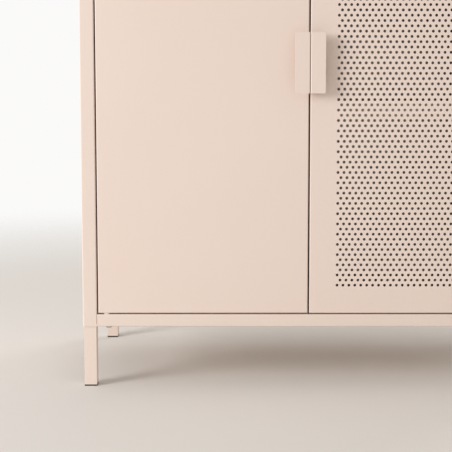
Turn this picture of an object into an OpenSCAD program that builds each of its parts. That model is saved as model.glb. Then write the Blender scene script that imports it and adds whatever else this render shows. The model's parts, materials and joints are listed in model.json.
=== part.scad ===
// Two-door sheet-steel locker cabinet on four square legs.
// The left door is plain and the right door is perforated. Both swing on pins at their outer edges.
// Millimetres, +Z up, +X to the right, and the doors face -Y.
// The origin is on the floor, under the middle of the whole cabinet with its handles.

/* [Overall] */
// Width over the side panels
body_w = 800; // [560:1:1000]
// Depth from the faces of the doors to the back edges of the side panels
body_d = 400; // [300:1:520]
// Height from the floor to the top
body_h = 1040; // [800:1:1300]
// Clear height under the body, with the foot pads
leg_h = 108; // [70:1:160]

/* [Carcass sheet] */
// Thickness of the folded sheets
sheet = 1; // [0.8:0.1:1.5]
// Width of the post that each side panel shows beside a door
post_w = 25; // [20:1:40]
// How far the post folds back behind its face
post_d = 20; // [16:1:26]
// Height of the rails above and below the doors
rail_h = 22; // [20:1:40]
// How far the top rail folds back
top_return = 42; // [41:1:60]
// Width of the flanges that the sheets are fixed by
flange = 15; // [13:1:20]
// Width of the flange that stiffens the lower front edge
bottom_return = 19; // [16:1:26]
// Depth of the back panel's outer face inside the back edges
back_inset = 3; // [2.6:0.1:6]

/* [Doors] */
// Thickness of a door over its folded edges
door_t = 18; // [16:1:19]
// Gap between a door and the posts and rails
door_gap = 2.5; // [2.2:0.1:4]
// Gap between the two doors
middle_gap = 2.8; // [2.7:0.1:4]
// Width of the lip folded in behind a door's edges
door_lip = 14; // [12:1:20]
// Thickness of the door sheet
door_sheet = 1; // [0.8:0.1:1.4]
// Width of the stiffening channel inside the plain door
stiffener_w = 60; // [40:1:100]
// Depth of the stiffening channel
stiffener_d = 15; // [10:1:15.5]

/* [Perforation] */
// Diameter of a hole
hole_d = 5; // [3:0.5:6]
// Distance between the holes of a row
hole_pitch = 10.5; // [9:0.1:14]
// Distance between the rows
row_pitch = 9.1; // [8:0.1:12]
// Least width of plain sheet between the door's edge and the first hole centres
hole_margin = 46; // [30:1:80]

/* [Door pivots] */
// Distance of the pivot from the door's outer edge
pivot_in = 15; // [14:0.5:20]
// Distance of the pivot behind the door's face
pivot_back = 7; // [6.5:0.1:7.5]
// Diameter of the pivot pins
pin_d = 5; // [4:0.1:5.5]
// Outer diameter of the pivot bushes
bush_d = 8; // [7.5:0.1:9]
// Diameter of the bush collars
bush_collar_d = 11; // [10:0.5:11.5]
// Length of a pin beyond the door
pin_reach = 9; // [7:1:12]

/* [Handles] */
// Height of a handle
handle_h = 105; // [80:1:200]
// Width of the flap that the fingers pull
handle_flap = 26; // [20:1:32]
// How far the flap's face stands in front of the door
handle_out = 20; // [14:1:30]
// Thickness of the handle sheet
handle_sheet = 1; // [0.8:0.1:1.1]
// Width of the tab behind the door
handle_tab = 13; // [12:1:16]
// Distance between a handle's two screws
handle_screw_gap = 70; // [40:1:90]

/* [Shelves] */
// Height of the lower shelf's front edge above the floor of the cabinet
lower_shelf_up = 350; // [200:25:400]
// Height of the upper shelf's front edge above the floor of the cabinet
upper_shelf_up = 625; // [500:25:650]
// Height of a shelf's folded edges
shelf_edge = 22; // [16:1:30]
// Distance of a shelf's front edge behind the door faces
shelf_back = 40; // [38:1:70]
// Distance between the slots of the uprights
slot_pitch = 25; // [20:1:32]
// Width of an upright
upright_w = 20; // [18:1:30]
// Depth of an upright
upright_d = 10; // [8:1:14]

/* [Catches] */
// Height of the door stops
stop_h = 17; // [14:1:30]
// Width of the door stops
stop_w = 46; // [40:1:80]
// Diameter of the magnets
magnet_d = 10; // [8:0.5:12]

/* [Legs] */
// Side of the square leg tube
leg_w = 22; // [18:1:22]
// Wall of the leg tube
leg_wall = 1.5; // [1.2:0.1:2.5]
// Distance of the legs inside the body's sides
leg_inset = 1.6; // [1.5:0.1:2]
// Side of the plate that a leg is bolted by
plate_w = 60; // [56:1:80]
// Thickness of that plate
plate_t = 3; // [2:0.5:4]
// Visible thickness of the foot pads
foot_t = 2.5; // [2:0.5:8]

/* [Fits] */
// Gap at a seat that two pieces share without touching
seat_gap = 0.3; // [0.2:0.05:0.4]
// Radial clearance of a pivot pin in its bush
pin_clearance = 0.05; // [0.03:0.01:0.1]
// Clearance of a shelf between the uprights, on each side
shelf_clearance = 1.5; // [1:0.1:2.5]
// Radial clearance of a screw in its hole
screw_clearance = 0.1; // [0.05:0.01:0.2]

/* [Wall fixing] */
// Diameter of the two wall fixing holes
wall_hole_d = 7; // [5:0.5:9]
// Distance between the wall fixing holes
wall_hole_gap = 600; // [300:1:700]
// Distance of the wall fixing holes below the top
wall_hole_down = 70; // [50:1:150]

/* [Hidden] */
$fn = 48;
peach = [0.93, 0.82, 0.75];
steel = [0.72, 0.73, 0.75];
black = [0.08, 0.08, 0.08];
nylon = [0.9, 0.9, 0.88];

half_w = body_w / 2;
inner_x = half_w - sheet;
post_x = half_w - post_w;
// Everything is drawn with the door faces at y = 0 and then moved so that the origin is in the middle.
front_y = -(body_d - handle_out) / 2;
floor_z = leg_h + rail_h;
rail_z = body_h - rail_h;
back_y = body_d - back_inset;
back_flange_y = back_y - sheet;

door_z = floor_z + door_gap;
door_h = rail_z - door_gap - door_z;
door_w = (body_w - 2 * post_w - 2 * door_gap - middle_gap) / 2;
pivot_x = post_x - door_gap - pivot_in;

hole_cols = floor((door_w - 2 * hole_margin) / hole_pitch) + 1;
row_pairs = floor((door_h - 2 * hole_margin) / (2 * row_pitch));
hole_rows = 2 * row_pairs + 1;
hole_x = (door_w - (hole_cols - 1) * hole_pitch) / 2;
hole_z = (door_h - (hole_rows - 1) * row_pitch) / 2;
band_rows = 3;
band_hair = 0.01;

handle_z = door_z + door_h / 2;
handle_x = middle_gap / 2;
small_screw_d = 4;
small_head_d = 8;
small_head_t = 2.2;

base_z = leg_h + sheet;
plate_top = base_z + plate_t;
leg_bolt_d = 6;
leg_bolt_head = 10;
leg_bolt_head_t = 3.5;
leg_bolt_side = flange / 2;
leg_bolt_in = 45;

shelf_bottoms = [floor_z + lower_shelf_up, floor_z + upper_shelf_up];
upright_ys = [shelf_back + 40, back_flange_y - 75];
upright_z = floor_z;
upright_h = body_h - sheet - floor_z - flange;
slot_w = 4;
slot_h = 14;
slot_first = 20;
slot_count = floor((upright_h - 2 * slot_first) / slot_pitch) + 1;
clip_w = 12;
clip_t = 2.4;
clip_reach = 7;
clip_hook = 4;
shelf_half = inner_x - upright_d - shelf_clearance;
shelf_depth = back_flange_y - shelf_clearance - shelf_back;

stop_y = door_t + 3;
stop_foot = 18;
magnet_t = stop_y - door_t - seat_gap;
magnet_xs = [-12, 12];
stop_screw_xs = [-15, 15];
stop_screw_y = stop_y + sheet + 9;

back_screw_d = 3.5;
back_head_d = 7;
back_head_t = 2;
back_screw_in = flange / 2;
back_screw_rows = 4;
back_screw_low = base_z + rail_h / 2;
back_screw_high = body_h - sheet - flange / 2;

// ---- helpers ----

// Moves a piece drawn with the door faces at y = 0 into the cabinet's own frame.
module placed() {
  translate([0, front_y, 0]) children();
}

// A box from its low corner to its high corner.
module span(low, high) {
  translate(low) cube(high - low);
}

// A cylinder along +Y from a point.
module along_y(at, d, h) {
  translate(at) rotate([-90, 0, 0]) cylinder(d = d, h = h);
}

// A round-headed screw along +Z with its head below z = 0 and its shank above.
module screw_up(shank_d, shank_h, head_d, head_t) {
  cylinder(d = shank_d, h = shank_h);
  translate([0, 0, -head_t]) cylinder(d = head_d, h = head_t);
}

// Draws the children on the left and, mirrored, on the right.
module both_sides() {
  children();
  mirror([1, 0, 0]) children();
}

// Where the back panel's screws are, as [x, z].
function back_screw_points() = concat(
  [for (i = [0 : back_screw_rows - 1], s = [-1, 1])
    [s * (inner_x - back_screw_in),
     back_screw_low + i * (back_screw_high - back_screw_low) / (back_screw_rows - 1)]],
  [for (s = [-1, 1], z = [back_screw_low, back_screw_high]) [s * inner_x / 3, z]]);

// Where the bolts of the front left leg are, measured from the body's left front corner.
leg_bolt_points = [
  [leg_bolt_in, sheet + bottom_return / 2],
  [sheet + leg_bolt_side, leg_bolt_in]];

// ---- carcass ----

// The holes for the back panel's screws, through whatever lies there.
module back_screw_holes() {
  for (p = back_screw_points())
    along_y([p[0], back_flange_y - 5, p[1]], back_screw_d + 2 * screw_clearance, 10);
}

// The holes for the leg bolts, through the flanges under the body.
module leg_bolt_holes() {
  both_sides()
    for (p = leg_bolt_points, y = [p[1], back_flange_y - p[1]])
      translate([-half_w + p[0], y, leg_h - 1])
        cylinder(d = leg_bolt_d + 2 * screw_clearance, h = plate_t + 4);
}

// The left side panel: outer sheet, folded post in front, and flanges at the back, top and bottom.
module side_panel() {
  corner = leg_inset + leg_w + 1;
  difference() {
    union() {
      span([-half_w, 0, leg_h], [-inner_x, body_d, body_h]);
      span([-half_w, 0, leg_h], [-post_x, sheet, body_h]);
      span([-post_x - sheet, 0, plate_top], [-post_x, post_d, body_h - sheet]);
      span([-half_w + post_w / 2, post_d - sheet, plate_top],
        [-post_x, post_d, body_h - sheet]);
      span([-inner_x, back_flange_y - sheet, plate_top],
        [-inner_x + flange, back_flange_y, body_h - sheet]);
      span([-inner_x, post_d, body_h - 2 * sheet],
        [-inner_x + flange, back_flange_y, body_h - sheet]);
      span([-inner_x, corner, leg_h], [-inner_x + flange, back_flange_y - corner, base_z]);
    }
    back_screw_holes();
    leg_bolt_holes();
  }
}

module left_side() {
  color(peach) placed() side_panel();
}

module right_side() {
  color(peach) placed() mirror([1, 0, 0]) side_panel();
}

// The top: a sheet between the sides, with the front rail folded down, back and up again.
module top_panel() {
  lip_z = rail_z + rail_h / 2;
  top_z = body_h - sheet;
  color(peach) placed() difference() {
    union() {
      span([-inner_x, sheet, top_z], [inner_x, body_d - sheet, body_h]);
      span([-post_x, 0, rail_z], [post_x, sheet, body_h]);
      span([-post_x, 0, rail_z], [post_x, top_return, rail_z + sheet]);
      span([-post_x, top_return - sheet, rail_z], [post_x, top_return, lip_z]);
      span([-inner_x + flange, back_flange_y - sheet, top_z - flange],
        [inner_x - flange, back_flange_y, top_z]);
    }
    back_screw_holes();
    both_sides() translate([-pivot_x, pivot_back, rail_z - 1]) cylinder(d = bush_d, h = 3);
    for (x = stop_screw_xs)
      translate([x, stop_screw_y, rail_z - 1])
        cylinder(d = small_screw_d + 2 * screw_clearance, h = 3);
  }
}

// The bottom: the cabinet's floor, with the front rail folded down and back under it.
module bottom_panel() {
  under_z = floor_z - sheet;
  color(peach) placed() difference() {
    union() {
      span([-inner_x, post_d, under_z], [inner_x, back_flange_y - sheet, floor_z]);
      span([-post_x, 0, under_z], [post_x, post_d, floor_z]);
      span([-post_x, 0, leg_h], [post_x, sheet, floor_z]);
      span([-post_x, 0, leg_h], [post_x, sheet + bottom_return, base_z]);
      span([-inner_x + flange, back_flange_y - sheet, base_z],
        [inner_x - flange, back_flange_y, floor_z]);
      span([-post_x, back_flange_y - sheet - bottom_return, leg_h],
        [post_x, back_flange_y, base_z]);
      both_sides()
        span([-inner_x, post_d, plate_top + 1],
          [-inner_x + sheet, back_flange_y - sheet, floor_z]);
    }
    back_screw_holes();
    leg_bolt_holes();
    both_sides() translate([-pivot_x, pivot_back, under_z - 1]) cylinder(d = bush_d, h = 3);
    for (x = stop_screw_xs)
      translate([x, stop_screw_y, under_z - 1])
        cylinder(d = small_screw_d + 2 * screw_clearance, h = 3);
  }
}

// The back: one flat sheet with two holes near the top for fixing the cabinet to a wall.
module back_panel() {
  edge = sheet;
  color(peach) placed() difference() {
    span([-inner_x + edge, back_flange_y, base_z + edge],
      [inner_x - edge, back_y, body_h - sheet - edge]);
    back_screw_holes();
    for (s = [-1, 1])
      along_y([s * wall_hole_gap / 2, back_y - 5, body_h - wall_hole_down], wall_hole_d, 10);
  }
}

module back_screws() {
  color(steel) placed()
    for (p = back_screw_points())
      translate([p[0], back_y, p[1]]) rotate([90, 0, 0])
        screw_up(back_screw_d, 8, back_head_d, back_head_t);
}

// ---- shelves and what carries them ----

// A slotted channel fixed to the inside of the left side panel.
module upright(y) {
  x = -inner_x;
  difference() {
    span([x, y, upright_z], [x + upright_d, y + upright_w, upright_z + upright_h]);
    span([x - 1, y + sheet, upright_z - 1],
      [x + upright_d - sheet, y + upright_w - sheet, upright_z + upright_h + 1]);
    for (i = [0 : slot_count - 1])
      span([x + upright_d - 2 * sheet, y + (upright_w - slot_w) / 2,
          upright_z + slot_first + i * slot_pitch - slot_h / 2],
        [x + upright_d + 1, y + (upright_w + slot_w) / 2,
          upright_z + slot_first + i * slot_pitch + slot_h / 2]);
  }
}

module left_front_upright() {
  color(peach) placed() upright(upright_ys[0]);
}

module left_rear_upright() {
  color(peach) placed() upright(upright_ys[1]);
}

module right_front_upright() {
  color(peach) placed() mirror([1, 0, 0]) upright(upright_ys[0]);
}

module right_rear_upright() {
  color(peach) placed() mirror([1, 0, 0]) upright(upright_ys[1]);
}

// A clip on the left: a ledge under the shelf, with a tongue through the slot below it.
module shelf_clip(y, z) {
  x = -inner_x + upright_d;
  slots_up = floor((z - clip_t - upright_z - slot_first) / slot_pitch);
  slot_z = upright_z + slot_first + slots_up * slot_pitch;
  tongue_low = slot_z - slot_h / 2 + seat_gap;
  tongue_high = slot_z + slot_h / 2 - seat_gap;
  body_low = min(tongue_low, z - clip_t);
  mid_y = y + upright_w / 2;
  span([x, mid_y - clip_w / 2, body_low], [x + sheet, mid_y + clip_w / 2, z]);
  span([x, mid_y - clip_w / 2, z - clip_t], [x + clip_reach, mid_y + clip_w / 2, z]);
  span([x - clip_hook, mid_y - slot_w / 2 + seat_gap, tongue_low],
    [x, mid_y + slot_w / 2 - seat_gap, tongue_high]);
}

module shelf_clips() {
  color(steel) placed() both_sides()
    for (y = upright_ys, z = shelf_bottoms) shelf_clip(y, z);
}

// A shelf is a tray turned over, with its front edge folded back once more.
module shelf(z) {
  y = shelf_back;
  back = shelf_back + shelf_depth;
  lip = 10;
  difference() {
    span([-shelf_half, y, z], [shelf_half, back, z + shelf_edge]);
    span([-shelf_half + sheet, y + sheet, z + sheet],
      [shelf_half - sheet, back - sheet, z + shelf_edge - sheet]);
    span([-shelf_half + sheet, y + lip, z - 1],
      [shelf_half - sheet, back - sheet, z + sheet + 1]);
  }
}

module lower_shelf() {
  color(peach) placed() shelf(shelf_bottoms[0]);
}

module upper_shelf() {
  color(peach) placed() shelf(shelf_bottoms[1]);
}

// ---- pivots and catches ----

// A collared bush standing on z = 0 with its body below.
module bush() {
  collar = door_gap - seat_gap;
  difference() {
    union() {
      cylinder(d = bush_collar_d, h = collar);
      translate([0, 0, -pin_reach]) cylinder(d = bush_d, h = pin_reach);
    }
    translate([0, 0, -pin_reach - 1])
      cylinder(d = pin_d + 2 * pin_clearance, h = pin_reach + collar + 2);
  }
}

module pivot_bushes() {
  color(nylon) placed() both_sides() {
    translate([-pivot_x, pivot_back, floor_z]) bush();
    translate([-pivot_x, pivot_back, rail_z]) mirror([0, 0, 1]) bush();
  }
}

// A pin through a door's lower edge, with its head inside the door.
module pivot_pin() {
  head_d = 9;
  head_t = 2;
  translate([0, 0, door_sheet]) cylinder(d = head_d, h = head_t);
  translate([0, 0, -pin_reach]) cylinder(d = pin_d, h = pin_reach + door_sheet + head_t);
}

module pins_left() {
  translate([-pivot_x, pivot_back, door_z]) pivot_pin();
  translate([-pivot_x, pivot_back, door_z + door_h]) mirror([0, 0, 1]) pivot_pin();
}

// A folded stop standing on z = 0 behind the middle of the doors, with its foot pointing back.
module stop_bracket() {
  difference() {
    union() {
      span([-stop_w / 2, stop_y, 0], [stop_w / 2, stop_y + sheet, stop_h]);
      span([-stop_w / 2, stop_y, 0], [stop_w / 2, stop_y + stop_foot, sheet]);
    }
    for (x = stop_screw_xs)
      translate([x, stop_screw_y, -1])
        cylinder(d = small_screw_d + 2 * screw_clearance, h = sheet + 2);
  }
}

module lower_stop() {
  color(peach) placed() translate([0, 0, floor_z]) stop_bracket();
}

module upper_stop() {
  color(peach) placed() translate([0, 0, rail_z]) mirror([0, 0, 1]) stop_bracket();
}

// A screw through a stop's foot, its head on the foot.
module stop_screw() {
  translate([0, 0, sheet]) mirror([0, 0, 1])
    screw_up(small_screw_d, 7, small_head_d, small_head_t);
}

module stop_screws() {
  color(steel) placed()
    for (x = stop_screw_xs) {
      translate([x, stop_screw_y, floor_z]) stop_screw();
      translate([x, stop_screw_y, rail_z]) mirror([0, 0, 1]) stop_screw();
    }
}

module catch_magnets() {
  color(black) placed()
    for (x = magnet_xs, z = [floor_z + stop_h / 2, rail_z - stop_h / 2])
      along_y([x, stop_y - magnet_t, z], magnet_d, magnet_t);
}

// ---- legs ----

// The front left leg: a square tube with its plate above, which lies inside the body.
module leg() {
  x = -half_w + leg_inset;
  y = leg_inset;
  plate_x = -inner_x + seat_gap;
  plate_y = sheet + seat_gap;
  difference() {
    union() {
      span([x, y, foot_t], [x + leg_w, y + leg_w, base_z]);
      span([plate_x, plate_y, base_z], [-half_w + plate_w, plate_w, plate_top]);
    }
    span([x + leg_wall, y + leg_wall, foot_t - 1],
      [x + leg_w - leg_wall, y + leg_w - leg_wall, base_z]);
    for (p = leg_bolt_points)
      translate([-half_w + p[0], p[1], base_z - 1]) cylinder(d = leg_bolt_d, h = plate_t + 2);
  }
}

// The front left foot: a pad with a plug that fills the tube's end.
module foot() {
  x = -half_w + leg_inset;
  y = leg_inset;
  plug = leg_wall + seat_gap;
  plug_h = 15;
  span([x, y, 0], [x + leg_w, y + leg_w, foot_t]);
  span([x + plug, y + plug, foot_t], [x + leg_w - plug, y + leg_w - plug, foot_t + plug_h]);
}

// Carries a piece of the front left corner to one of the four corners.
module at_corner(right, rear) {
  translate([0, rear ? back_flange_y : 0, 0])
    mirror([0, rear ? 1 : 0, 0]) mirror([right ? 1 : 0, 0, 0]) children();
}

module front_left_leg() {
  color(peach) placed() at_corner(false, false) leg();
}

module front_right_leg() {
  color(peach) placed() at_corner(true, false) leg();
}

module rear_left_leg() {
  color(peach) placed() at_corner(false, true) leg();
}

module rear_right_leg() {
  color(peach) placed() at_corner(true, true) leg();
}

module front_left_foot() {
  color(black) placed() at_corner(false, false) foot();
}

module front_right_foot() {
  color(black) placed() at_corner(true, false) foot();
}

module rear_left_foot() {
  color(black) placed() at_corner(false, true) foot();
}

module rear_right_foot() {
  color(black) placed() at_corner(true, true) foot();
}

module leg_bolts() {
  color(steel) placed() both_sides()
    for (p = leg_bolt_points, y = [p[1], back_flange_y - p[1]])
      translate([-half_w + p[0], y, leg_h])
        screw_up(leg_bolt_d, sheet + plate_t + 1, leg_bolt_head, leg_bolt_head_t);
}

// ---- doors, drawn for the left with x = 0 at the middle of the cabinet ----

door_left = -middle_gap / 2 - door_w;
door_right = -middle_gap / 2;

// The hollow of a door behind its face, and the opening between the lips.
module door_hollow(from_y) {
  span([door_left + door_sheet, from_y, door_z + door_sheet],
    [door_right - door_sheet, door_t - door_sheet, door_z + door_h - door_sheet]);
  span([door_left + door_lip, from_y, door_z + door_lip],
    [door_right - door_lip, door_t + 1, door_z + door_h - door_lip]);
}

// The holes that a door's lip and edges need for its pins and its handle's screws.
module door_holes() {
  for (z = [door_z - 1, door_z + door_h - door_sheet - 1])
    translate([-pivot_x, pivot_back, z]) cylinder(d = pin_d, h = door_sheet + 2);
  for (s = [-1, 1])
    along_y([-handle_x - handle_tab / 2, door_t - 3, handle_z + s * handle_screw_gap / 2],
      small_screw_d, 6);
}

module left_door_panel() {
  color(peach) placed() difference() {
    span([door_left, 0, door_z], [door_right, door_t, door_z + door_h]);
    door_hollow(door_sheet);
    door_holes();
  }
}

// A channel behind the middle of the plain face, open towards the face.
module left_door_stiffener() {
  x = (door_left + door_right - stiffener_w) / 2;
  low = door_z + door_lip + 4;
  high = door_z + door_h - door_lip - 4;
  wing = 8;
  color(peach) placed() {
    difference() {
      span([x, door_sheet, low], [x + stiffener_w, door_sheet + stiffener_d, high]);
      span([x + sheet, door_sheet - 1, low - 1],
        [x + stiffener_w - sheet, door_sheet + stiffener_d - sheet, high + 1]);
    }
    span([x - wing, door_sheet, low], [x, door_sheet + sheet, high]);
    span([x + stiffener_w, door_sheet, low],
      [x + stiffener_w + wing, door_sheet + sheet, high]);
  }
}

module left_pivot_pins() {
  color(steel) placed() pins_left();
}

// A handle of one bent sheet: a tab behind the door, a web through the middle gap and a flap in front.
module handle() {
  x = -handle_x;
  low = handle_z - handle_h / 2;
  high = handle_z + handle_h / 2;
  difference() {
    union() {
      span([x, -handle_out, low], [x + handle_sheet, door_t + handle_sheet, high]);
      span([x + handle_sheet - handle_flap, -handle_out, low],
        [x + handle_sheet, handle_sheet - handle_out, high]);
      span([x - handle_tab, door_t, low], [x + handle_sheet, door_t + handle_sheet, high]);
    }
    for (s = [-1, 1])
      along_y([x - handle_tab / 2, door_t - 1, handle_z + s * handle_screw_gap / 2],
        small_screw_d + 2 * screw_clearance, handle_sheet + 2);
  }
}

module handle_screws() {
  for (s = [-1, 1])
    translate([-handle_x - handle_tab / 2, door_t + handle_sheet,
        handle_z + s * handle_screw_gap / 2])
      rotate([90, 0, 0]) screw_up(small_screw_d, 8, small_head_d, small_head_t);
}

module left_handle() {
  color(peach) placed() handle();
}

module left_handle_screws() {
  color(steel) placed() handle_screws();
}

// Some rows of the perforated sheet, from the bottom up, between two heights.
module sheet_band(first, count, low, high) {
  difference() {
    translate([0, low]) square([door_w, high - low]);
    for (row = [first : first + count - 1], col = [0 : hole_cols - 1 - row % 2])
      translate([hole_x + (col + (row % 2) / 2) * hole_pitch, hole_z + row * row_pitch])
        circle(d = hole_d);
  }
}

// The perforated face, made of bands. Every other band is a hair thinner on both sides, so that no
// single face carries all the holes.
module right_door_sheet() {
  color(peach) placed() translate([middle_gap / 2, door_sheet, door_z]) rotate([90, 0, 0])
    for (first = [0 : band_rows : hole_rows - 1]) {
      count = min(band_rows, hole_rows - first);
      low = first == 0 ? 0 : hole_z + (first - 0.5) * row_pitch;
      high = first + count == hole_rows ? door_h : hole_z + (first + count - 0.5) * row_pitch;
      hair = (first / band_rows) % 2 * band_hair;
      translate([0, 0, hair]) linear_extrude(door_sheet - 2 * hair)
        sheet_band(first, count, low, high);
    }
}

// The folded frame that the perforated face is welded to.
module right_door_frame() {
  color(peach) placed() mirror([1, 0, 0]) difference() {
    span([door_left, door_sheet, door_z], [door_right, door_t, door_z + door_h]);
    door_hollow(door_sheet - 1);
    door_holes();
  }
}

module right_pivot_pins() {
  color(steel) placed() mirror([1, 0, 0]) pins_left();
}

module right_handle() {
  color(peach) placed() mirror([1, 0, 0]) handle();
}

module right_handle_screws() {
  color(steel) placed() mirror([1, 0, 0]) handle_screws();
}

left_side();
right_side();
top_panel();
bottom_panel();
back_panel();
back_screws();
left_front_upright();
left_rear_upright();
right_front_upright();
right_rear_upright();
shelf_clips();
lower_shelf();
upper_shelf();
pivot_bushes();
lower_stop();
upper_stop();
stop_screws();
catch_magnets();
front_left_leg();
front_right_leg();
rear_left_leg();
rear_right_leg();
front_left_foot();
front_right_foot();
rear_left_foot();
rear_right_foot();
leg_bolts();
left_door_panel();
left_door_stiffener();
left_pivot_pins();
left_handle();
left_handle_screws();
right_door_sheet();
right_door_frame();
right_pivot_pins();
right_handle();
right_handle_screws();
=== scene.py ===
import json
import math

import bmesh
import bpy
from mathutils import Matrix, Vector

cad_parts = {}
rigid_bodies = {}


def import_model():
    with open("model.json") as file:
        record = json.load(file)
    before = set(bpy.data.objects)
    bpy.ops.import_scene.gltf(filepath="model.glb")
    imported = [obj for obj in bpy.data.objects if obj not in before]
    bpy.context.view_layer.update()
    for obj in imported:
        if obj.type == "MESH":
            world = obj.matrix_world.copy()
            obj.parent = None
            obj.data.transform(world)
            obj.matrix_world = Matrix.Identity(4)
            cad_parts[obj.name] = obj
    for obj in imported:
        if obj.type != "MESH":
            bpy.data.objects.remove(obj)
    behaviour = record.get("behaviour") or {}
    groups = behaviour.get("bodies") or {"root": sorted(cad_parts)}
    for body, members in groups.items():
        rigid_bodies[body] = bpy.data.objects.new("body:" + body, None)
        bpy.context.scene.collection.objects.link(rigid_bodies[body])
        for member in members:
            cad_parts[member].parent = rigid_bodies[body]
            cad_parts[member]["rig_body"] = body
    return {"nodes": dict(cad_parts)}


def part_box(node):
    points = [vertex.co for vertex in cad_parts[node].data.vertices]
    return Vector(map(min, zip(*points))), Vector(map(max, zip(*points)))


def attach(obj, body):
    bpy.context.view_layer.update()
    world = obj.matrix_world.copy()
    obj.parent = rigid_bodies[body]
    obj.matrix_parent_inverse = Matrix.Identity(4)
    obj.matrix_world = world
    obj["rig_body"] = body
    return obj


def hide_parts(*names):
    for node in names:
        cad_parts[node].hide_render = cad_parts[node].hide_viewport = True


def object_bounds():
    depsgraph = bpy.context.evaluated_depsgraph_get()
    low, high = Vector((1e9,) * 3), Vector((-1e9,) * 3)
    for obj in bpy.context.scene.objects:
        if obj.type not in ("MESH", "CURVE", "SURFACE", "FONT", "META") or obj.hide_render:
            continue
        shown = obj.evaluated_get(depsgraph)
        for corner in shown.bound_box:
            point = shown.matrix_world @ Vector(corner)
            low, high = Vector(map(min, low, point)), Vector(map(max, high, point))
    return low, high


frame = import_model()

CAD_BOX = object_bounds()

bl_info = {
    "name": "Steel locker cabinet",
    "version": (1, 0, 0),
    "blender": (4, 5, 0),
    "location": "View3D > Sidebar > Locker",
    "description": "Folded sheet pieces, finishes and studio for a two-door locker cabinet",
    "category": "Object",
}

MM = 0.001

# Head radius, head height and shank radius of each kind of screw.
SMALL_SCREW = (4 * MM, 2.2 * MM, 2 * MM)
BACK_SCREW = (3.5 * MM, 2 * MM, 1.75 * MM)
LEG_BOLT = (5 * MM, 3.5 * MM, 3 * MM)


def linear(red, green, blue):
    """A colour written in 0 to 255 screen values, as the linear numbers that shaders use."""
    def channel(value):
        value /= 255
        return value / 12.92 if value <= 0.04045 else ((value + 0.055) / 1.055) ** 2.4
    return (channel(red), channel(green), channel(blue))


class LockerFinish(bpy.types.PropertyGroup):
    """Colours and gloss of the cabinet."""

    coat: bpy.props.FloatVectorProperty(
        name="Coat", description="Colour of the powder coat", subtype="COLOR",
        min=0, max=1, default=linear(233, 217, 206))
    coat_deep: bpy.props.FloatVectorProperty(
        name="Coat, deep", description="Colour where the powder lies a little thicker",
        subtype="COLOR", min=0, max=1, default=linear(229, 211, 199))
    coat_roughness: bpy.props.FloatProperty(
        name="Coat roughness", description="Roughness of the powder coat", subtype="FACTOR",
        min=0, max=1, default=0.5)
    peel_size: bpy.props.FloatProperty(
        name="Peel size", description="Size of the ripples in the powder coat", unit="LENGTH",
        min=0.0005, max=0.01, default=0.0016)
    floor: bpy.props.FloatVectorProperty(
        name="Floor", description="Colour of the studio floor", subtype="COLOR",
        min=0, max=1, default=linear(228, 225, 220))


class LockerSheets(bpy.types.PropertyGroup):
    """Sizes of the folds and softened edges."""

    bend: bpy.props.FloatProperty(
        name="Bend", description="Inside radius of a folded edge", unit="LENGTH",
        min=0.0002, max=0.003, default=1.0 * MM)
    handle_bend: bpy.props.FloatProperty(
        name="Handle bend", description="Inside radius of a handle's folds", unit="LENGTH",
        min=0.0002, max=0.003, default=1.0 * MM)
    sheet: bpy.props.FloatProperty(
        name="Sheet", description="Thickness of the folded sheets", unit="LENGTH",
        min=0.0005, max=0.002, default=1.0 * MM)
    post: bpy.props.FloatProperty(
        name="Post", description="Width of the post beside a door", unit="LENGTH",
        min=0.01, max=0.05, default=25 * MM)
    post_return: bpy.props.FloatProperty(
        name="Post return", description="How far a post folds back", unit="LENGTH",
        min=0.01, max=0.04, default=20 * MM)
    rail: bpy.props.FloatProperty(
        name="Rail", description="Height of the rails above and below the doors", unit="LENGTH",
        min=0.01, max=0.05, default=22 * MM)
    top_return: bpy.props.FloatProperty(
        name="Top return", description="How far the top rail folds back", unit="LENGTH",
        min=0.02, max=0.08, default=42 * MM)
    flange: bpy.props.FloatProperty(
        name="Flange", description="Width of the flanges that join the sheets", unit="LENGTH",
        min=0.005, max=0.03, default=15 * MM)
    door_lip: bpy.props.FloatProperty(
        name="Door lip", description="Width of the lip behind a door's edges", unit="LENGTH",
        min=0.005, max=0.03, default=14 * MM)
    softening: bpy.props.FloatProperty(
        name="Softening", description="Width of the softened edge on small pieces",
        unit="LENGTH", min=0.00005, max=0.001, default=0.2 * MM)
    seam: bpy.props.FloatProperty(
        name="Seam", description="Hairline between a rail and a post", unit="LENGTH",
        min=0, max=0.001, default=0.3 * MM)


class LockerPerforation(bpy.types.PropertyGroup):
    """The holes of the right door."""

    hole: bpy.props.FloatProperty(
        name="Hole", description="Diameter of a hole", unit="LENGTH",
        min=0.002, max=0.008, default=5 * MM)
    pitch: bpy.props.FloatProperty(
        name="Pitch", description="Distance between the holes of a row", unit="LENGTH",
        min=0.006, max=0.02, default=10.5 * MM)
    row_pitch: bpy.props.FloatProperty(
        name="Row pitch", description="Distance between the rows", unit="LENGTH",
        min=0.006, max=0.02, default=9.1 * MM)
    margin: bpy.props.FloatProperty(
        name="Margin", description="Least plain sheet between the edge and the hole centres",
        unit="LENGTH", min=0.02, max=0.1, default=46 * MM)


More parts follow.
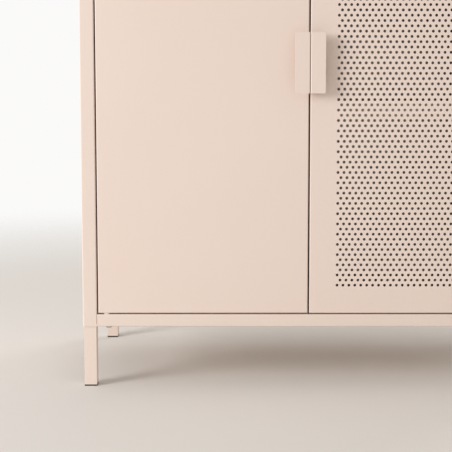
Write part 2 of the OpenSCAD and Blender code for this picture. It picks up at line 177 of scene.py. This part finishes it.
class LockerView(bpy.types.PropertyGroup):
    """Camera and lamps."""

    lens: bpy.props.FloatProperty(
        name="Lens", description="Focal length for a 36 mm sensor, in millimetres",
        min=20, max=200, default=91.5)
    distance: bpy.props.FloatProperty(
        name="Distance", description="From the lens to the door faces", unit="LENGTH",
        min=0.5, max=6, default=2.004)
    height: bpy.props.FloatProperty(
        name="Height", description="Height of the lens", unit="LENGTH",
        min=0, max=3, default=0.569)
    across: bpy.props.FloatProperty(
        name="Across", description="Place of the lens across the cabinet", unit="LENGTH",
        min=-2, max=2, default=-0.130)
    tilt: bpy.props.FloatProperty(
        name="Tilt", description="How far the camera looks down", subtype="ANGLE",
        min=0, max=1, default=math.radians(5.72))
    shift_x: bpy.props.FloatProperty(
        name="Shift across", description="Sideways shift of the frame", min=-1, max=1,
        default=-0.02)
    shift_y: bpy.props.FloatProperty(
        name="Shift up", description="Upward shift of the frame", min=-1, max=1, default=-0.1)
    floor_edge: bpy.props.FloatProperty(
        name="Floor edge", description="Where the floor starts to fade out", unit="LENGTH",
        min=0, max=6, default=0.9)
    floor_end: bpy.props.FloatProperty(
        name="Floor end", description="Where the floor has faded out", unit="LENGTH",
        min=0, max=6, default=2.6)
    key: bpy.props.FloatProperty(
        name="Key lamp", description="Power of the large lamp", min=0, max=900, default=128)
    sky: bpy.props.FloatProperty(
        name="Room light", description="Strength of the light from the room", min=0, max=3,
        default=0.61)


# ---- node groups and materials ----


def new_group(name, inputs, outputs):
    """An empty shader node group with float or colour sockets."""
    group = bpy.data.node_groups.new(name, "ShaderNodeTree")
    for direction, sockets in (("INPUT", inputs), ("OUTPUT", outputs)):
        for label, kind, default in sockets:
            socket = group.interface.new_socket(label, in_out=direction, socket_type=kind)
            if default is not None:
                socket.default_value = default
    return group, group.nodes.new("NodeGroupInput"), group.nodes.new("NodeGroupOutput")


def finish_surface_group():
    """Ripples, tone drift and gloss drift that every finish of the cabinet uses."""
    colour, number = "NodeSocketColor", "NodeSocketFloat"
    group, given, out = new_group(
        "Finish surface",
        (("Light tone", colour, (0.8, 0.8, 0.8, 1)), ("Deep tone", colour, (0.7, 0.7, 0.7, 1)),
         ("Drift size", number, 0.12), ("Grain size", number, 0.0016),
         ("Roughness", number, 0.5), ("Gloss drift", number, 0.06)),
        (("Colour", colour, None), ("Roughness", number, None), ("Height", number, None)))
    nodes, links = group.nodes, group.links
    place = nodes.new("ShaderNodeTexCoord")

    def noise(size_socket, detail):
        divide = nodes.new("ShaderNodeMath")
        divide.operation = "DIVIDE"
        divide.inputs[0].default_value = 1
        links.new(given.outputs[size_socket], divide.inputs[1])
        texture = nodes.new("ShaderNodeTexNoise")
        texture.inputs["Detail"].default_value = detail
        links.new(place.outputs["Object"], texture.inputs["Vector"])
        links.new(divide.outputs[0], texture.inputs["Scale"])
        return texture

    drift, grain = noise("Drift size", 3), noise("Grain size", 2)
    tone = nodes.new("ShaderNodeMix")
    tone.data_type = "RGBA"
    links.new(drift.outputs["Fac"], tone.inputs["Factor"])
    links.new(given.outputs["Light tone"], tone.inputs["A"])
    links.new(given.outputs["Deep tone"], tone.inputs["B"])
    centred = nodes.new("ShaderNodeMath")
    centred.operation = "SUBTRACT"
    centred.inputs[1].default_value = 0.5
    links.new(grain.outputs["Fac"], centred.inputs[0])
    gloss = nodes.new("ShaderNodeMath")
    gloss.operation = "MULTIPLY_ADD"
    links.new(centred.outputs[0], gloss.inputs[0])
    links.new(given.outputs["Gloss drift"], gloss.inputs[1])
    links.new(given.outputs["Roughness"], gloss.inputs[2])
    links.new(tone.outputs["Result"], out.inputs["Colour"])
    links.new(gloss.outputs[0], out.inputs["Roughness"])
    links.new(grain.outputs["Fac"], out.inputs["Height"])
    return group


def finish_material(name, light, deep, roughness, metallic, grain, drift, bump, gloss=0.08):
    """One finish: the shared surface group feeding a Principled shader."""
    material = bpy.data.materials.new(name)
    material.use_nodes = True
    nodes, links = material.node_tree.nodes, material.node_tree.links
    shader = nodes["Principled BSDF"]
    shader.inputs["Metallic"].default_value = metallic
    surface = nodes.new("ShaderNodeGroup")
    surface.node_tree = bpy.data.node_groups["Finish surface"]
    surface.inputs["Light tone"].default_value = (*light, 1)
    surface.inputs["Deep tone"].default_value = (*deep, 1)
    surface.inputs["Drift size"].default_value = drift
    surface.inputs["Grain size"].default_value = grain
    surface.inputs["Roughness"].default_value = roughness
    surface.inputs["Gloss drift"].default_value = gloss
    relief = nodes.new("ShaderNodeBump")
    relief.inputs["Strength"].default_value = 1
    relief.inputs["Distance"].default_value = bump
    links.new(surface.outputs["Colour"], shader.inputs["Base Color"])
    links.new(surface.outputs["Roughness"], shader.inputs["Roughness"])
    links.new(surface.outputs["Height"], relief.inputs["Height"])
    links.new(relief.outputs["Normal"], shader.inputs["Normal"])
    return material


# ---- mesh helpers ----


def piece(name, bm, material, slot, *nodes):
    """Turns a bmesh into a piece that stands for CAD nodes and rides on their body."""
    bmesh.ops.recalc_face_normals(bm, faces=bm.faces)
    mesh = bpy.data.meshes.new(name)
    bm.to_mesh(mesh)
    bm.free()
    for face in mesh.polygons:
        face.use_smooth = True
    mesh.set_sharp_from_angle(angle=math.radians(35))
    mesh.materials.append(bpy.data.materials[material])
    made = bpy.data.objects.new(name, mesh)
    bpy.context.scene.collection.objects.link(made)
    even = made.modifiers.new("Even shading", "WEIGHTED_NORMAL")
    even.keep_sharp = True
    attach(made, frame["nodes"][nodes[0]]["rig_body"])
    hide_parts(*nodes)
    return made


def folded(path, sheet, bend, steps=4, cut=0.15 * MM):
    """Outline of a folded sheet: path is its outer line, and the sheet lies to the left of it."""
    line = [Vector(p) for p in path]
    ways = [(b - a).normalized() for a, b in zip(line, line[1:])]
    left = [Vector((-w.y, w.x)) for w in ways]
    near, far = [], []
    near += [line[0] + left[0] * cut, line[0] + ways[0] * cut]
    far += [line[0] + left[0] * (sheet - cut), line[0] + left[0] * sheet + ways[0] * cut]
    for i in range(1, len(line) - 1):
        turn = ways[i - 1].cross(ways[i])
        side = 1 if turn > 0 else -1
        near_r, far_r = (bend + sheet, bend) if side > 0 else (bend, bend + sheet)
        centre = line[i] + side * (left[i - 1] + left[i]) * near_r
        for radius, edge in ((near_r, near), (far_r, far)):
            for k in range(steps + 1):
                t = k / steps * math.pi / 2
                way = left[i - 1] * math.cos(t) + left[i] * math.sin(t)
                edge.append(centre - side * way * radius)
    end, way, out = line[-1], ways[-1], left[-1]
    near += [end - way * cut, end + out * cut]
    far += [end + out * sheet - way * cut, end + out * (sheet - cut)]
    return near + far[::-1]


def skin(bm, rings, ends="capped"):
    """Joins rings of points into a tube of quads; its ends are "capped", "joined" or "open"."""
    made = [[bm.verts.new(p) for p in ring] for ring in rings]
    count = len(made[0])
    for a, b in zip(made, made[1:] + made[:1] if ends == "joined" else made[1:]):
        for i in range(count):
            j = (i + 1) % count
            bm.faces.new((a[i], a[j], b[j], b[i]))
    if ends == "capped":
        bm.faces.new(made[0][::-1])
        bm.faces.new(made[-1])
    return made


def extrude(bm, outlines, axis):
    """A solid from (place, outline) pairs along axis; outlines are in the other two axes."""
    rings = []
    for place, outline in outlines:
        ring = []
        for p in outline:
            full = [p[0], p[1]]
            full.insert(axis, place)
            ring.append(full)
        rings.append(ring)
    skin(bm, rings)


def slab(bm, low, high, cut=0.15 * MM):
    """A plain strip of sheet with softened edges."""
    low, high = Vector(low), Vector(high)
    axis = max(range(3), key=lambda i: high[i] - low[i])
    a, b = [i for i in range(3) if i != axis]
    stations = ((low[axis], cut), (low[axis] + cut, 0), (high[axis] - cut, 0), (high[axis], cut))
    outlines = []
    for place, inset in stations:
        x0, x1 = low[a] + inset, high[a] - inset
        y0, y1 = low[b] + inset, high[b] - inset
        outlines.append((place, ((x0 + cut, y0), (x1 - cut, y0), (x1, y0 + cut), (x1, y1 - cut),
                                 (x1 - cut, y1), (x0 + cut, y1), (x0, y1 - cut), (x0, y0 + cut))))
    extrude(bm, outlines, axis)


def pan_section(sheet, bend, path, cut=0.15 * MM):
    """Section of a pan's edge as (inset, depth) points, from a path of such points."""
    return [(x, y) for y, x in folded([(y, x) for x, y in path], sheet, bend, cut=cut)]


def pan(bm, low, high, section, ends):
    """Sweeps a section of (inset, depth) points round the four sides of a door."""
    rings = []
    for inset, depth in section:
        y = low.y + depth
        x0, x1, z0, z1 = low.x + inset, high.x - inset, low.z + inset, high.z - inset
        rings.append([(x0, y, z0), (x1, y, z0), (x1, y, z1), (x0, y, z1)])
    return skin(bm, rings, ends)


def mirrored(bm):
    """Mirrors a mesh to the other side of the cabinet."""
    bmesh.ops.scale(bm, vec=(-1, 1, 1), verts=bm.verts)


def softened(node, material, slot, width=None, steps=2):
    """A CAD node's shape with its sharp edges softened."""
    bm = bmesh.new()
    bm.from_mesh(frame["nodes"][node].data)
    bmesh.ops.remove_doubles(bm, verts=bm.verts, dist=1e-6)
    bmesh.ops.dissolve_limit(bm, angle_limit=math.radians(1), verts=bm.verts, edges=bm.edges)
    sharp = [e for e in bm.edges if e.is_manifold and e.calc_face_angle(0) > math.radians(40)]
    bmesh.ops.bevel(bm, geom=sharp, offset=width or bpy.context.scene.locker_sheets.softening,
                    segments=steps, affect="EDGES", clamp_overlap=True)
    return piece(node + "_shape", bm, material, slot, node)


def islands(node):
    """The boxes of a node's separate solids, as (low, high) corners."""
    bm = bmesh.new()
    bm.from_mesh(frame["nodes"][node].data)
    bmesh.ops.remove_doubles(bm, verts=bm.verts, dist=1e-6)
    waiting, boxes = set(bm.verts), []
    while waiting:
        stack, seen = [waiting.pop()], []
        while stack:
            vertex = stack.pop()
            seen.append(vertex.co.copy())
            for edge in vertex.link_edges:
                other = edge.other_vert(vertex)
                if other in waiting:
                    waiting.remove(other)
                    stack.append(other)
        boxes.append((Vector([min(c[i] for c in seen) for i in range(3)]),
                      Vector([max(c[i] for c in seen) for i in range(3)])))
    bm.free()
    return boxes


def lathe(bm, profile, sides):
    """A turned shape about Z from (radius, height) points, closed at both ends."""
    rings = []
    for radius, height in profile:
        rings.append([(radius * math.cos(math.tau * k / sides),
                       radius * math.sin(math.tau * k / sides), height) for k in range(sides)])
    skin(bm, rings)


def screw_master(name, head_r, head_t, shank_r, shank_l, hexagon):
    """A screw with its head above z = 0: a pan head with a cross recess, or a hexagon head."""
    bm = bmesh.new()
    if hexagon:
        lathe(bm, ((0.96 * head_r, 0), (head_r, 0.1 * head_t), (head_r, 0.85 * head_t),
                   (0.9 * head_r, head_t)), 6)
    else:
        curve = ((1, 0), (1, 0.25), (0.96, 0.5), (0.86, 0.72), (0.68, 0.88), (0.4, 0.97),
                 (0.12, 1))
        lathe(bm, [(head_r * r, head_t * h) for r, h in curve], 32)
    lathe(bm, ((shank_r * 0.8, -shank_l), (shank_r, -shank_l + 0.3 * MM), (shank_r, 0.05 * MM)), 24)
    mesh = bpy.data.meshes.new(name)
    bm.to_mesh(mesh)
    bm.free()
    if hexagon:
        return mesh
    cutter = bmesh.new()
    arm, half, deep = head_r * 0.55, head_r * 0.13, head_t * 0.45
    cross = ((arm, -half), (arm, half), (half, half), (half, arm), (-half, arm), (-half, half),
             (-arm, half), (-arm, -half), (-half, -half), (-half, -arm), (half, -arm),
             (half, -half))
    extrude(cutter, [(head_t - deep, [(x * 0.7, y * 0.7) for x, y in cross]),
                     (head_t + deep, cross)], 2)
    bmesh.ops.recalc_face_normals(cutter, faces=cutter.faces)
    cut_mesh = bpy.data.meshes.new(name + "_recess")
    cutter.to_mesh(cut_mesh)
    cutter.free()
    head = bpy.data.objects.new(name, mesh)
    tool = bpy.data.objects.new(name + "_recess", cut_mesh)
    for thing in (head, tool):
        bpy.context.scene.collection.objects.link(thing)
    recess = head.modifiers.new("Recess", "BOOLEAN")
    recess.operation = "DIFFERENCE"
    recess.object = tool
    bpy.context.view_layer.update()
    result = bpy.data.meshes.new_from_object(
        head.evaluated_get(bpy.context.evaluated_depsgraph_get()))
    for thing in (head, tool):
        bpy.data.objects.remove(thing)
    return result


def screws(node, axis, heads_high, kind, hexagon=False):
    """Puts a detailed screw on each solid of a node; heads_high says which end the head is on."""
    bm = bmesh.new()
    places = islands(node)
    head_r, head_t, shank_r = kind
    length = places[0][1][axis] - places[0][0][axis]
    master = screw_master(node + "_master", head_r, head_t, shank_r, length - head_t, hexagon)
    for low, high in places:
        up = heads_high(low, high)
        middle = (low + high) / 2
        middle[axis] = high[axis] - head_t if up else low[axis] + head_t
        way = Vector([0, 0, 0])
        way[axis] = 1 if up else -1
        turn = way.to_track_quat("Z", "Y").to_matrix().to_4x4()
        placed = master.copy()
        placed.transform(Matrix.Translation(middle) @ turn)
        bm.from_mesh(placed)
        bpy.data.meshes.remove(placed)
    bpy.data.meshes.remove(master)
    return piece(node + "_set", bm, "Zinc plated steel", "zinc_steel", node)


# ---- operators, one for each piece or group of like pieces ----


class LOCKER_OT_finishes(bpy.types.Operator):
    """Makes the finishes of the cabinet"""

    bl_idname = "locker.finishes"
    bl_label = "Finishes"

    def execute(self, context):
        look = context.scene.locker_finish
        finish_surface_group()
        finish_material("Powder coat", look.coat, look.coat_deep, look.coat_roughness, 0,
                        look.peel_size, 0.35, 0.012 * MM)
        finish_material("Zinc plated steel", linear(196, 198, 200), linear(158, 160, 164), 0.33,
                        1, 0.5 * MM, 0.02, 0.01 * MM, 0.2)
        finish_material("Black plastic", linear(34, 33, 32), linear(24, 23, 23), 0.55, 0,
                        0.4 * MM, 0.02, 0.02 * MM, 0.15)
        finish_material("Nylon", linear(232, 230, 222), linear(222, 219, 209), 0.45, 0,
                        0.8 * MM, 0.01, 0.01 * MM)
        finish_material("Ferrite", linear(62, 60, 60), linear(44, 43, 44), 0.42, 0.5,
                        0.3 * MM, 0.008, 0.015 * MM, 0.2)
        return {"FINISHED"}


class LOCKER_OT_sides(bpy.types.Operator):
    """Folds the two side panels with their front posts and flanges"""

    bl_idname = "locker.sides"
    bl_label = "Side panels"

    def execute(self, context):
        size = context.scene.locker_sheets
        t = size.sheet
        low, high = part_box("left_side")
        y1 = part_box("back_panel")[0].y
        post_x, lip_x = low.x + size.post, low.x + size.post / 2
        lip_y = low.y + size.post_return
        plate = low.z + 4 * MM
        for node, flip in (("left_side", False), ("right_side", True)):
            bm = bmesh.new()
            full = folded(((low.x, high.y), (low.x, low.y), (post_x, low.y), (post_x, lip_y),
                           (lip_x, lip_y)), t, size.bend)
            short = folded(((low.x, high.y), (low.x, low.y), (post_x, low.y)), t, size.bend)
            extrude(bm, [(plate, full), (high.z - t, full)], 2)
            extrude(bm, [(low.z, short), (plate, short)], 2)
            extrude(bm, [(high.z - t, short), (high.z, short)], 2)
            inner, flange = low.x + t, low.x + t + size.flange
            slab(bm, (inner, y1 - t, plate), (flange, y1, high.z - t))
            slab(bm, (inner, lip_y, high.z - 2 * t), (flange, y1, high.z - t))
            slab(bm, (inner, lip_y + 5 * MM, low.z), (flange, y1 - 25 * MM, low.z + t))
            if flip:
                mirrored(bm)
            piece(node + "_fold", bm, "Powder coat", "powder_coat", node)
        return {"FINISHED"}


class LOCKER_OT_top_and_bottom(bpy.types.Operator):
    """Folds the top and the bottom with their front rails"""

    bl_idname = "locker.top_and_bottom"
    bl_label = "Top and bottom"

    def execute(self, context):
        size = context.scene.locker_sheets
        t = size.sheet
        low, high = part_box("top_panel")
        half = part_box("right_side")[1].x - size.post - size.seam / 2
        wing, rail = high.x, size.rail
        y0, y1 = low.y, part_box("back_panel")[0].y
        bm = bmesh.new()
        face = folded(((high.y, high.z), (y0, high.z), (y0, high.z - rail),
                       (y0 + size.top_return, high.z - rail),
                       (y0 + size.top_return, high.z - rail / 2)),
                      t, size.bend)
        extrude(bm, [(-half, face), (half, face)], 0)
        for s in (-1, 1):
            x = sorted((s * half, s * wing))
            slab(bm, (x[0], y0 + t, high.z - t), (x[1], high.y, high.z))
        between = wing - size.flange
        slab(bm, (-between, y1 - t, high.z - t - size.flange), (between, y1, high.z - t))
        piece("top_panel_fold", bm, "Powder coat", "powder_coat", "top_panel")

        low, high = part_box("bottom_panel")
        bm = bmesh.new()
        face = folded(((y1 - t, high.z), (y0, high.z), (y0, low.z),
                       (y0 + size.post_return, low.z)), t, size.bend)
        extrude(bm, [(-half, face), (half, face)], 0)
        for s in (-1, 1):
            x = sorted((s * half, s * wing))
            slab(bm, (x[0], y0 + size.post_return, high.z - t), (x[1], y1 - t, high.z))
            x = sorted((s * wing, s * (wing - t)))
            slab(bm, (x[0], y0 + size.post_return, low.z + 5 * MM), (x[1], y1 - t, high.z - t))
        slab(bm, (-between, y1 - t, low.z + t), (between, y1, high.z - t))
        slab(bm, (-half, y1 - size.post_return, low.z), (half, y1, low.z + t))
        piece("bottom_panel_fold", bm, "Powder coat", "powder_coat", "bottom_panel")
        return {"FINISHED"}


class LOCKER_OT_back(bpy.types.Operator):
    """Softens the back sheet and sets its screws"""

    bl_idname = "locker.back"
    bl_label = "Back panel"

    def execute(self, context):
        softened("back_panel", "Powder coat", "powder_coat")
        screws("back_screws", 1, lambda low, high: True, BACK_SCREW)
        return {"FINISHED"}


class LOCKER_OT_shelving(bpy.types.Operator):
    """Finishes the uprights, clips and shelves"""

    bl_idname = "locker.shelving"
    bl_label = "Shelving"

    def execute(self, context):
        for node in ("left_front_upright", "left_rear_upright", "right_front_upright",
                     "right_rear_upright"):
            softened(node, "Powder coat", "powder_coat", 0.25 * MM)
        for node in ("lower_shelf", "upper_shelf"):
            softened(node, "Powder coat", "powder_coat", 0.45 * MM, 3)
        softened("shelf_clips", "Zinc plated steel", "zinc_steel")
        return {"FINISHED"}


class LOCKER_OT_pivots_and_catches(bpy.types.Operator):
    """Finishes the pivots, the door stops and the magnets"""

    bl_idname = "locker.pivots_and_catches"
    bl_label = "Pivots and catches"

    def execute(self, context):
        softened("pivot_bushes", "Nylon", "nylon")
        for node in ("left_pivot_pins", "right_pivot_pins"):
            softened(node, "Zinc plated steel", "zinc_steel", 0.3 * MM)
        for node in ("lower_stop", "upper_stop"):
            softened(node, "Powder coat", "powder_coat", 0.3 * MM)
        softened("catch_magnets", "Ferrite", "magnet", 0.3 * MM)
        middle = sum(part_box("stop_screws"), Vector()).z / 2
        screws("stop_screws", 2, lambda low, high: low.z < middle, SMALL_SCREW)
        return {"FINISHED"}


class LOCKER_OT_legs(bpy.types.Operator):
    """Finishes the legs, their foot pads and bolts"""

    bl_idname = "locker.legs"
    bl_label = "Legs"

    def execute(self, context):
        for corner in ("front_left", "front_right", "rear_left", "rear_right"):
            softened(corner + "_leg", "Powder coat", "powder_coat", 0.7 * MM, 3)
            softened(corner + "_foot", "Black plastic", "black_plastic", 0.5 * MM, 3)
        screws("leg_bolts", 2, lambda low, high: False, LEG_BOLT, hexagon=True)
        return {"FINISHED"}


class LOCKER_OT_plain_door(bpy.types.Operator):
    """Folds the plain left door and finishes its stiffener"""

    bl_idname = "locker.plain_door"
    bl_label = "Plain door"

    def execute(self, context):
        size = context.scene.locker_sheets
        low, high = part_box("left_door_panel")
        deep = high.y - low.y
        path = ((40 * MM, 0), (0, 0), (0, deep), (size.door_lip, deep))
        bm = bmesh.new()
        pan(bm, low, high, pan_section(size.sheet, size.bend, path)[1:-1], "capped")
        piece("left_door_fold", bm, "Powder coat", "powder_coat", "left_door_panel")
        softened("left_door_stiffener", "Powder coat", "powder_coat", 0.3 * MM)
        return {"FINISHED"}


class LOCKER_OT_perforated_door(bpy.types.Operator):
    """Punches the perforated sheet and folds the frame behind it"""

    bl_idname = "locker.perforated_door"
    bl_label = "Perforated door"

    def execute(self, context):
        size, grid = context.scene.locker_sheets, context.scene.locker_perforation
        low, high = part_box("right_door_sheet")
        width, tall, t = high.x - low.x, high.z - low.z, high.y - low.y
        columns = int((width - 2 * grid.margin) / grid.pitch + 1e-6) + 1
        rows = 2 * int((tall - 2 * grid.margin) / (2 * grid.row_pitch) + 1e-6) + 1
        first_x = low.x + (width - (columns - 1) * grid.pitch) / 2
        first_z = low.z + (tall - (rows - 1) * grid.row_pitch) / 2
        half_x, half_z, sides = grid.pitch / 2, grid.row_pitch / 2, 16
        rim = 3 * MM
        points = {}
        bm = bmesh.new()

        def at(x, y, z):
            key = (round(x * 1e6), round(y * 1e6), round(z * 1e6))
            if key not in points:
                points[key] = bm.verts.new((x, y, z))
            return points[key]

        def both(corners):
            bm.faces.new([at(x, low.y, z) for x, z in corners])
            bm.faces.new([at(x, high.y, z) for x, z in corners[::-1]])

        corner_of = (2, 4, 6, 10, 12, 14, 18)
        for row in range(rows):
            z = first_z + row * grid.row_pitch
            odd = row % 2
            z0, z1 = z - half_z, z + half_z
            for column in range(columns - odd):
                x = first_x + (column + odd / 2) * grid.pitch
                edge = ((x + half_x, z1), (x, z1), (x - half_x, z1), (x - half_x, z0), (x, z0),
                        (x + half_x, z0))
                ring = [(x + grid.hole / 2 * math.cos(math.tau * k / sides),
                         z + grid.hole / 2 * math.sin(math.tau * k / sides))
                        for k in range(sides)]
                for k in range(6):
                    arc = [ring[i % sides] for i in range(corner_of[k + 1], corner_of[k] - 1, -1)]
                    both([edge[k], edge[(k + 1) % 6]] + arc)
                for k in range(sides):
                    a, b = ring[k], ring[(k + 1) % sides]
                    bm.faces.new((at(a[0], low.y, a[1]), at(b[0], low.y, b[1]),
                                  at(b[0], high.y, b[1]), at(a[0], high.y, a[1])))
            ends = (first_x - half_x, first_x + (columns - 1) * grid.pitch + half_x)
            for end, outer, way in ((ends[0], low.x + rim, 1), (ends[1], high.x - rim, -1)):
                inner = end + way * odd * half_x
                strip = [(outer, z0), (end, z0), (inner, z0), (inner, z1), (end, z1), (outer, z1)]
                if not odd:
                    strip = [strip[0], strip[1], strip[4], strip[5]]
                both(strip)
        left, right = low.x + rim, high.x - rim
        start, stop = first_z - half_z, first_z + (rows - 0.5) * grid.row_pitch
        across = [first_x + (k / 2 - 0.5) * grid.pitch for k in range(2 * columns + 1)]
        for z_in, z_out in ((start, low.z + rim), (stop, high.z - rim)):
            both([(left, z_out), (right, z_out), (right, z_in)]
                 + [(x, z_in) for x in across[::-1]] + [(left, z_in)])
        bend, turns = size.bend + t, [k * math.pi / 12 for k in range(7)]
        section = [(bend - bend * math.sin(a), bend - bend * math.cos(a)) for a in turns]
        section += [(bend - size.bend * math.sin(a), bend - size.bend * math.cos(a))
                    for a in turns[::-1]]
        rings = pan(bm, low, high, section, "open")
        corners = ((left, low.z + rim), (right, low.z + rim), (right, high.z - rim),
                   (left, high.z - rim))
        levels = [first_z + (row - 0.5) * grid.row_pitch for row in range(rows + 1)]
        between = ([], [(right, z) for z in levels], [], [(left, z) for z in levels[::-1]])
        for ring, y in ((rings[0], low.y), (rings[-1], high.y)):
            for k in range(4):
                inner = [corners[k], *between[k], corners[(k + 1) % 4]]
                bm.faces.new([ring[k], ring[(k + 1) % 4]]
                             + [at(x, y, z) for x, z in inner[::-1]])
        piece("right_door_perforated", bm, "Powder coat", "powder_coat", "right_door_sheet")

        low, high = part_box("right_door_frame")
        deep = high.y - low.y
        section = pan_section(size.sheet, size.bend,
                              ((0, size.bend), (0, deep), (size.door_lip, deep)), 0.02 * MM)
        bm = bmesh.new()
        pan(bm, low, high, section, "joined")
        piece("right_door_frame_fold", bm, "Powder coat", "powder_coat", "right_door_frame")
        return {"FINISHED"}


class LOCKER_OT_handles(bpy.types.Operator):
    """Bends the two handles and sets their screws"""

    bl_idname = "locker.handles"
    bl_label = "Handles"

    def execute(self, context):
        size = context.scene.locker_sheets
        low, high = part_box("left_handle")
        corner = 3 * MM
        tab = high.x - 14 * MM
        stations = [(corner - corner * math.sin(k * math.pi / 12),
                     corner - corner * math.cos(k * math.pi / 12)) for k in range(7)]
        for node, flip in (("left_handle", False), ("right_handle", True)):
            outlines = []
            for inset, up in stations:
                shape = folded(((low.x + inset, low.y), (high.x, low.y), (high.x, high.y),
                                (tab + inset, high.y)), size.sheet, size.handle_bend, 6)
                outlines.append((up, shape))
            full = [(low.z + up, shape) for up, shape in outlines]
            full += [(high.z - up, shape) for up, shape in outlines[::-1]]
            bm = bmesh.new()
            extrude(bm, full, 2)
            if flip:
                mirrored(bm)
            piece(node + "_fold", bm, "Powder coat", "powder_coat", node)
            screws(node + "_screws", 1, lambda low, high: True, SMALL_SCREW)
        return {"FINISHED"}


class LOCKER_OT_studio(bpy.types.Operator):
    """Sets the floor, the lamps and the camera"""

    bl_idname = "locker.studio"
    bl_label = "Studio"

    def execute(self, context):
        scene = context.scene
        view, look = scene.locker_view, scene.locker_finish
        scene.view_settings.view_transform = "Standard"
        bm = bmesh.new()
        bmesh.ops.create_grid(bm, x_segments=1, y_segments=1, size=6)
        mesh = bpy.data.meshes.new("studio_floor")
        bm.to_mesh(mesh)
        bm.free()
        floor = bpy.data.objects.new("studio_floor", mesh)
        scene.collection.objects.link(floor)
        ground = bpy.data.materials.new("Studio floor")
        ground.use_nodes = True
        nodes, links = ground.node_tree.nodes, ground.node_tree.links
        nodes["Principled BSDF"].inputs["Base Color"].default_value = (*look.floor, 1)
        nodes["Principled BSDF"].inputs["Roughness"].default_value = 0.8
        place = nodes.new("ShaderNodeTexCoord")
        far = nodes.new("ShaderNodeVectorMath")
        far.operation = "LENGTH"
        fade = nodes.new("ShaderNodeMapRange")
        fade.interpolation_type = "SMOOTHSTEP"
        fade.inputs["From Min"].default_value = view.floor_edge
        fade.inputs["From Max"].default_value = view.floor_end
        clear = nodes.new("ShaderNodeBsdfTransparent")
        ends = nodes.new("ShaderNodeMixShader")
        links.new(place.outputs["Object"], far.inputs[0])
        links.new(far.outputs["Value"], fade.inputs["Value"])
        links.new(fade.outputs["Result"], ends.inputs["Fac"])
        links.new(nodes["Principled BSDF"].outputs[0], ends.inputs[1])
        links.new(clear.outputs[0], ends.inputs[2])
        links.new(ends.outputs[0], nodes["Material Output"].inputs["Surface"])
        mesh.materials.append(ground)

        world = bpy.data.worlds.new("Studio room")
        scene.world = world
        world.use_nodes = True
        tree = world.node_tree
        room = tree.nodes["Background"]
        room.inputs["Color"].default_value = (1, 0.95, 0.91, 1)
        room.inputs["Strength"].default_value = view.sky
        backdrop = tree.nodes.new("ShaderNodeBackground")
        backdrop.inputs["Color"].default_value = (0.96, 0.955, 0.945, 1)
        rays = tree.nodes.new("ShaderNodeLightPath")
        seen = tree.nodes.new("ShaderNodeMath")
        seen.operation = "MAXIMUM"
        blend = tree.nodes.new("ShaderNodeMixShader")
        tree.links.new(rays.outputs["Is Camera Ray"], seen.inputs[0])
        tree.links.new(rays.outputs["Is Glossy Ray"], seen.inputs[1])
        tree.links.new(seen.outputs[0], blend.inputs["Fac"])
        tree.links.new(room.outputs[0], blend.inputs[1])
        tree.links.new(backdrop.outputs[0], blend.inputs[2])
        tree.links.new(blend.outputs[0], tree.nodes["World Output"].inputs["Surface"])

        aim = Vector((0, CAD_BOX[0].y, CAD_BOX[1].z / 2))
        for name, place, wide, power in (("Key lamp", (-3.6, -2.3, 1.5), 2.0, view.key),
                                         ("Back lamp", (2.2, 2.8, 2.4), 1.8, view.key * 0.25)):
            data = bpy.data.lights.new(name, "AREA")
            data.shape = "DISK"
            data.size = wide
            data.energy = power
            lamp = bpy.data.objects.new(name, data)
            lamp.location = place
            lamp.rotation_euler = (Vector(place) - aim).to_track_quat("Z", "Y").to_euler()
            scene.collection.objects.link(lamp)

        data = bpy.data.cameras.new("Camera")
        data.sensor_width = 36
        data.lens = view.lens
        data.shift_x = view.shift_x
        data.shift_y = view.shift_y
        camera = bpy.data.objects.new("Camera", data)
        door_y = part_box("left_door_panel")[0].y
        camera.location = (view.across, door_y - view.distance, view.height)
        camera.rotation_euler = (math.pi / 2 - view.tilt, 0, 0)
        scene.collection.objects.link(camera)
        scene.camera = camera
        return {"FINISHED"}


OPERATORS = (LOCKER_OT_finishes, LOCKER_OT_sides, LOCKER_OT_top_and_bottom, LOCKER_OT_back,
             LOCKER_OT_shelving, LOCKER_OT_pivots_and_catches, LOCKER_OT_legs,
             LOCKER_OT_plain_door, LOCKER_OT_perforated_door, LOCKER_OT_handles,
             LOCKER_OT_studio)
SETTINGS = (("locker_finish", LockerFinish), ("locker_sheets", LockerSheets),
            ("locker_perforation", LockerPerforation), ("locker_view", LockerView))


class LOCKER_PT_cabinet(bpy.types.Panel):
    """Lists the cabinet's settings and steps"""

    bl_idname = "LOCKER_PT_cabinet"
    bl_label = "Locker cabinet"
    bl_space_type = "VIEW_3D"
    bl_region_type = "UI"
    bl_category = "Locker"

    def draw(self, context):
        for name, group in SETTINGS:
            box = self.layout.box()
            for label in group.__annotations__:
                box.prop(getattr(context.scene, name), label)
        for operator in OPERATORS:
            self.layout.operator(operator.bl_idname)


def register():
    for name, group in SETTINGS:
        bpy.utils.register_class(group)
        setattr(bpy.types.Scene, name, bpy.props.PointerProperty(type=group))
    for cls in (*OPERATORS, LOCKER_PT_cabinet):
        bpy.utils.register_class(cls)


def unregister():
    for cls in (LOCKER_PT_cabinet, *reversed(OPERATORS)):
        bpy.utils.unregister_class(cls)
    for name, group in reversed(SETTINGS):
        delattr(bpy.types.Scene, name)
        bpy.utils.unregister_class(group)


def main():
    register()
    for operator in OPERATORS:
        group, name = operator.bl_idname.split(".")
        getattr(getattr(bpy.ops, group), name)()


if __name__ == "__main__":
    main()
